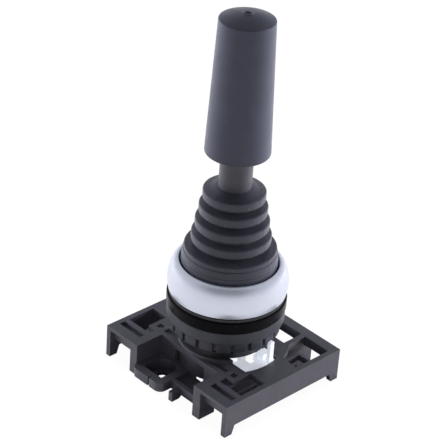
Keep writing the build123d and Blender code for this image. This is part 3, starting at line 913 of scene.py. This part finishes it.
class JOYSTICK_OT_stage(bpy.types.Operator):
    """Set up the floor, the plain light and the camera"""

    bl_idname = "joystick.stage"
    bl_label = "Stage"

    def execute(self, context):
        stage = context.scene.joystick_stage
        context.scene.view_settings.view_transform = "Standard"
        self.floor(stage)
        self.world(context.scene, stage)
        self.lamps(stage)
        self.camera(context.scene, stage)
        return {"FINISHED"}

    @staticmethod
    def seen(book):
        """1 for rays from the camera and for light through a material."""
        return (book.ray("Camera") + book.ray("Transmission")).clipped()

    @staticmethod
    def outside_painted_shade(book):
        """Mask of the floor's painted shade: 0 under the base and 1 beside it."""
        margin, steepness = mm(1), 350
        right, rear = (
            book.along(book.place(), axis).magnitude() - edge
            for axis, edge in zip("XY", cad_box[1])
        )
        return ((right.larger(rear) + margin) * steepness).clipped()

    def floor(self, stage):
        """Pale floor that keeps a soft shadow."""
        half = 1.5
        shape = bmesh.new()
        corners = ((-half, -half), (half, -half), (half, half), (-half, half))
        shape.faces.new([shape.verts.new((x, y, cad_box[0][2])) for x, y in corners])
        mesh = bpy.data.meshes.new("floor")
        shape.to_mesh(mesh)
        shape.free()
        floor = bpy.data.objects.new("floor", mesh)
        bpy.context.scene.collection.objects.link(floor)
        floor.data.materials.append(self.floor_material(stage))

    def floor_material(self, stage):
        """White to the camera, less the shadow, with painted shade under the base: dark there to
        bounced light and to reflections.
        """
        # Painted shade: the floor's grey is 0.1 under the base and 0.8 beside it, so less light
        # bounces up into the base
        painted_shade_grey, beside_base = 0.1, 0.8
        shown_strength, reflected_share = 1.1, 0.85
        material = bpy.data.materials.new("floor_white")
        book = NodeBook(material)
        clear = self.outside_painted_shade(book)
        greys = [
            book.node("ShaderNodeBsdfDiffuse", None, {"Color": (grey, grey, grey, 1)})
            for grey in (painted_shade_grey, beside_base)
        ]
        lit = book.blended(clear, *greys)
        white = {"Color": (1, 1, 1, 1), "Strength": shown_strength}
        shown = book.node("ShaderNodeEmission", None, white)
        # Painted shade in reflections: the white floor shows in reflections only beside the base
        reflected = book.ray("Glossy") * clear * reflected_share
        factor = (self.seen(book) + reflected).clipped() * stage.floor
        book.surface(book.blended(factor, lit, shown))
        return material

    def world(self, scene, stage):
        """White to the camera and plain light to the object, whose reflections show a dark side."""
        scene.world = bpy.data.worlds.new("studio")
        book = NodeBook(scene.world)
        turn, level, up = stage.azimuth, 0.8, 0.6
        towards = (math.sin(turn) * level, -math.cos(turn) * level, up)
        settings, inputs = {"operation": "DOT_PRODUCT"}, {0: book.direction(), 1: towards}
        nearness = book.node("ShaderNodeVectorMath", settings, inputs, output="Value")
        darkness = book.ramp(nearness, (0.6, 0.0), (0.9, 1.0))
        ceiling = book.ramp(book.along(book.direction(), "Z"), (0.05, 0.0), (0.35, 1.0))
        plain = book.glow((0.94, 0.96, 1, 1), stage.sky)
        white = book.glow((1, 1, 1, 1), 1.02)
        horizon = book.glow((0.94, 0.96, 1, 1), 0.86)
        pale = book.glow((0.92, 0.95, 1, 1), 0.6)
        dark = book.glow((0.9, 0.93, 1, 1), 0.27)
        mirrored = book.blended(ceiling, horizon, book.blended(darkness, pale, dark))
        unseen = book.blended(book.ray("Glossy"), plain, mirrored)
        sky = book.blended(self.seen(book), unseen, white)
        book.surface(sky, output="ShaderNodeOutputWorld")

    @staticmethod
    def lamps(stage):
        """Soft boxes behind the object at both sides, and a weak one in front."""
        side = Vector((math.cos(stage.azimuth), math.sin(stage.azimuth), 0))
        ahead = Vector((math.sin(stage.azimuth), -math.cos(stage.azimuth), 0))
        width, aim = 0.36, Vector((0, 0, mm(35)))
        for name, (across, forward, up, height) in SOFT_BOXES.items():
            place = side * across + ahead * forward + Vector((0, 0, up))
            lamp = bpy.data.lights.new(name, "AREA")
            lamp.shape = "RECTANGLE"
            lamp.size, lamp.size_y = width, height
            lamp.energy = getattr(stage, name)
            lamp.color = (0.97, 0.97, 1)
            holder = bpy.data.objects.new(name, lamp)
            holder.visible_glossy = False
            bpy.context.scene.collection.objects.link(holder)
            turn = (place - aim).to_track_quat("Z", "Y")
            holder.matrix_world = Matrix.Translation(place) @ turn.to_matrix().to_4x4()

    @staticmethod
    def camera(scene, stage):
        """Camera at the photograph's angle."""
        turn, height = stage.azimuth, stage.elevation
        level = math.cos(height)
        back = Vector((math.sin(turn) * level, -math.cos(turn) * level, math.sin(height)))
        right = Vector((math.cos(turn), math.sin(turn), 0))
        aim = Matrix((right, back.cross(right), back)).transposed()
        aim @= Matrix.Rotation(stage.pan, 3, "Y")
        aim @= Matrix.Rotation(stage.tilt, 3, "X")
        aim @= Matrix.Rotation(stage.roll, 3, "Z")
        place = Vector((0, 0, stage.target)) + back * stage.distance
        camera = bpy.data.cameras.new("camera")
        camera.lens = stage.lens
        camera.clip_start = 0.01
        holder = bpy.data.objects.new("camera", camera)
        scene.collection.objects.link(holder)
        holder.matrix_world = Matrix.Translation(place) @ aim.to_4x4()
        scene.camera = holder


OPERATORS = (
    JOYSTICK_OT_grip,
    JOYSTICK_OT_boot,
    JOYSTICK_OT_bezel,
    JOYSTICK_OT_seal_and_nut,
    JOYSTICK_OT_housing,
    JOYSTICK_OT_base,
    JOYSTICK_OT_inner,
    JOYSTICK_OT_stage,
)
GROUPS = {
    "joystick_finish": JoystickFinish,
    "joystick_sizes": JoystickSizes,
    "joystick_stage": JoystickStage,
}


class JOYSTICK_PT_looks(bpy.types.Panel):
    """Panel that lists the pieces and their settings"""

    bl_label = "Joystick Head"
    bl_idname = "JOYSTICK_PT_looks"
    bl_space_type = "VIEW_3D"
    bl_region_type = "UI"
    bl_category = "Joystick"

    def draw(self, context):
        for operator in OPERATORS:
            self.layout.operator(operator.bl_idname)
        for group in GROUPS:
            settings = getattr(context.scene, group)
            box = self.layout.box()
            for name in settings.__annotations__:
                box.prop(settings, name)


def register():
    """Register the classes and hang their settings on the scene."""
    for group in (*GROUPS.values(), *OPERATORS, JOYSTICK_PT_looks):
        bpy.utils.register_class(group)
    for name, group in GROUPS.items():
        setattr(bpy.types.Scene, name, PointerProperty(type=group))


def unregister():
    """Take the settings and the classes away again."""
    for name in GROUPS:
        delattr(bpy.types.Scene, name)
    for group in (JOYSTICK_PT_looks, *OPERATORS, *GROUPS.values()):
        bpy.utils.unregister_class(group)


def main():
    """Make every piece."""
    register()
    for operator in OPERATORS:
        category, name = operator.bl_idname.split(".")
        getattr(getattr(bpy.ops, category), name)()


if __name__ == "__main__":
    main()
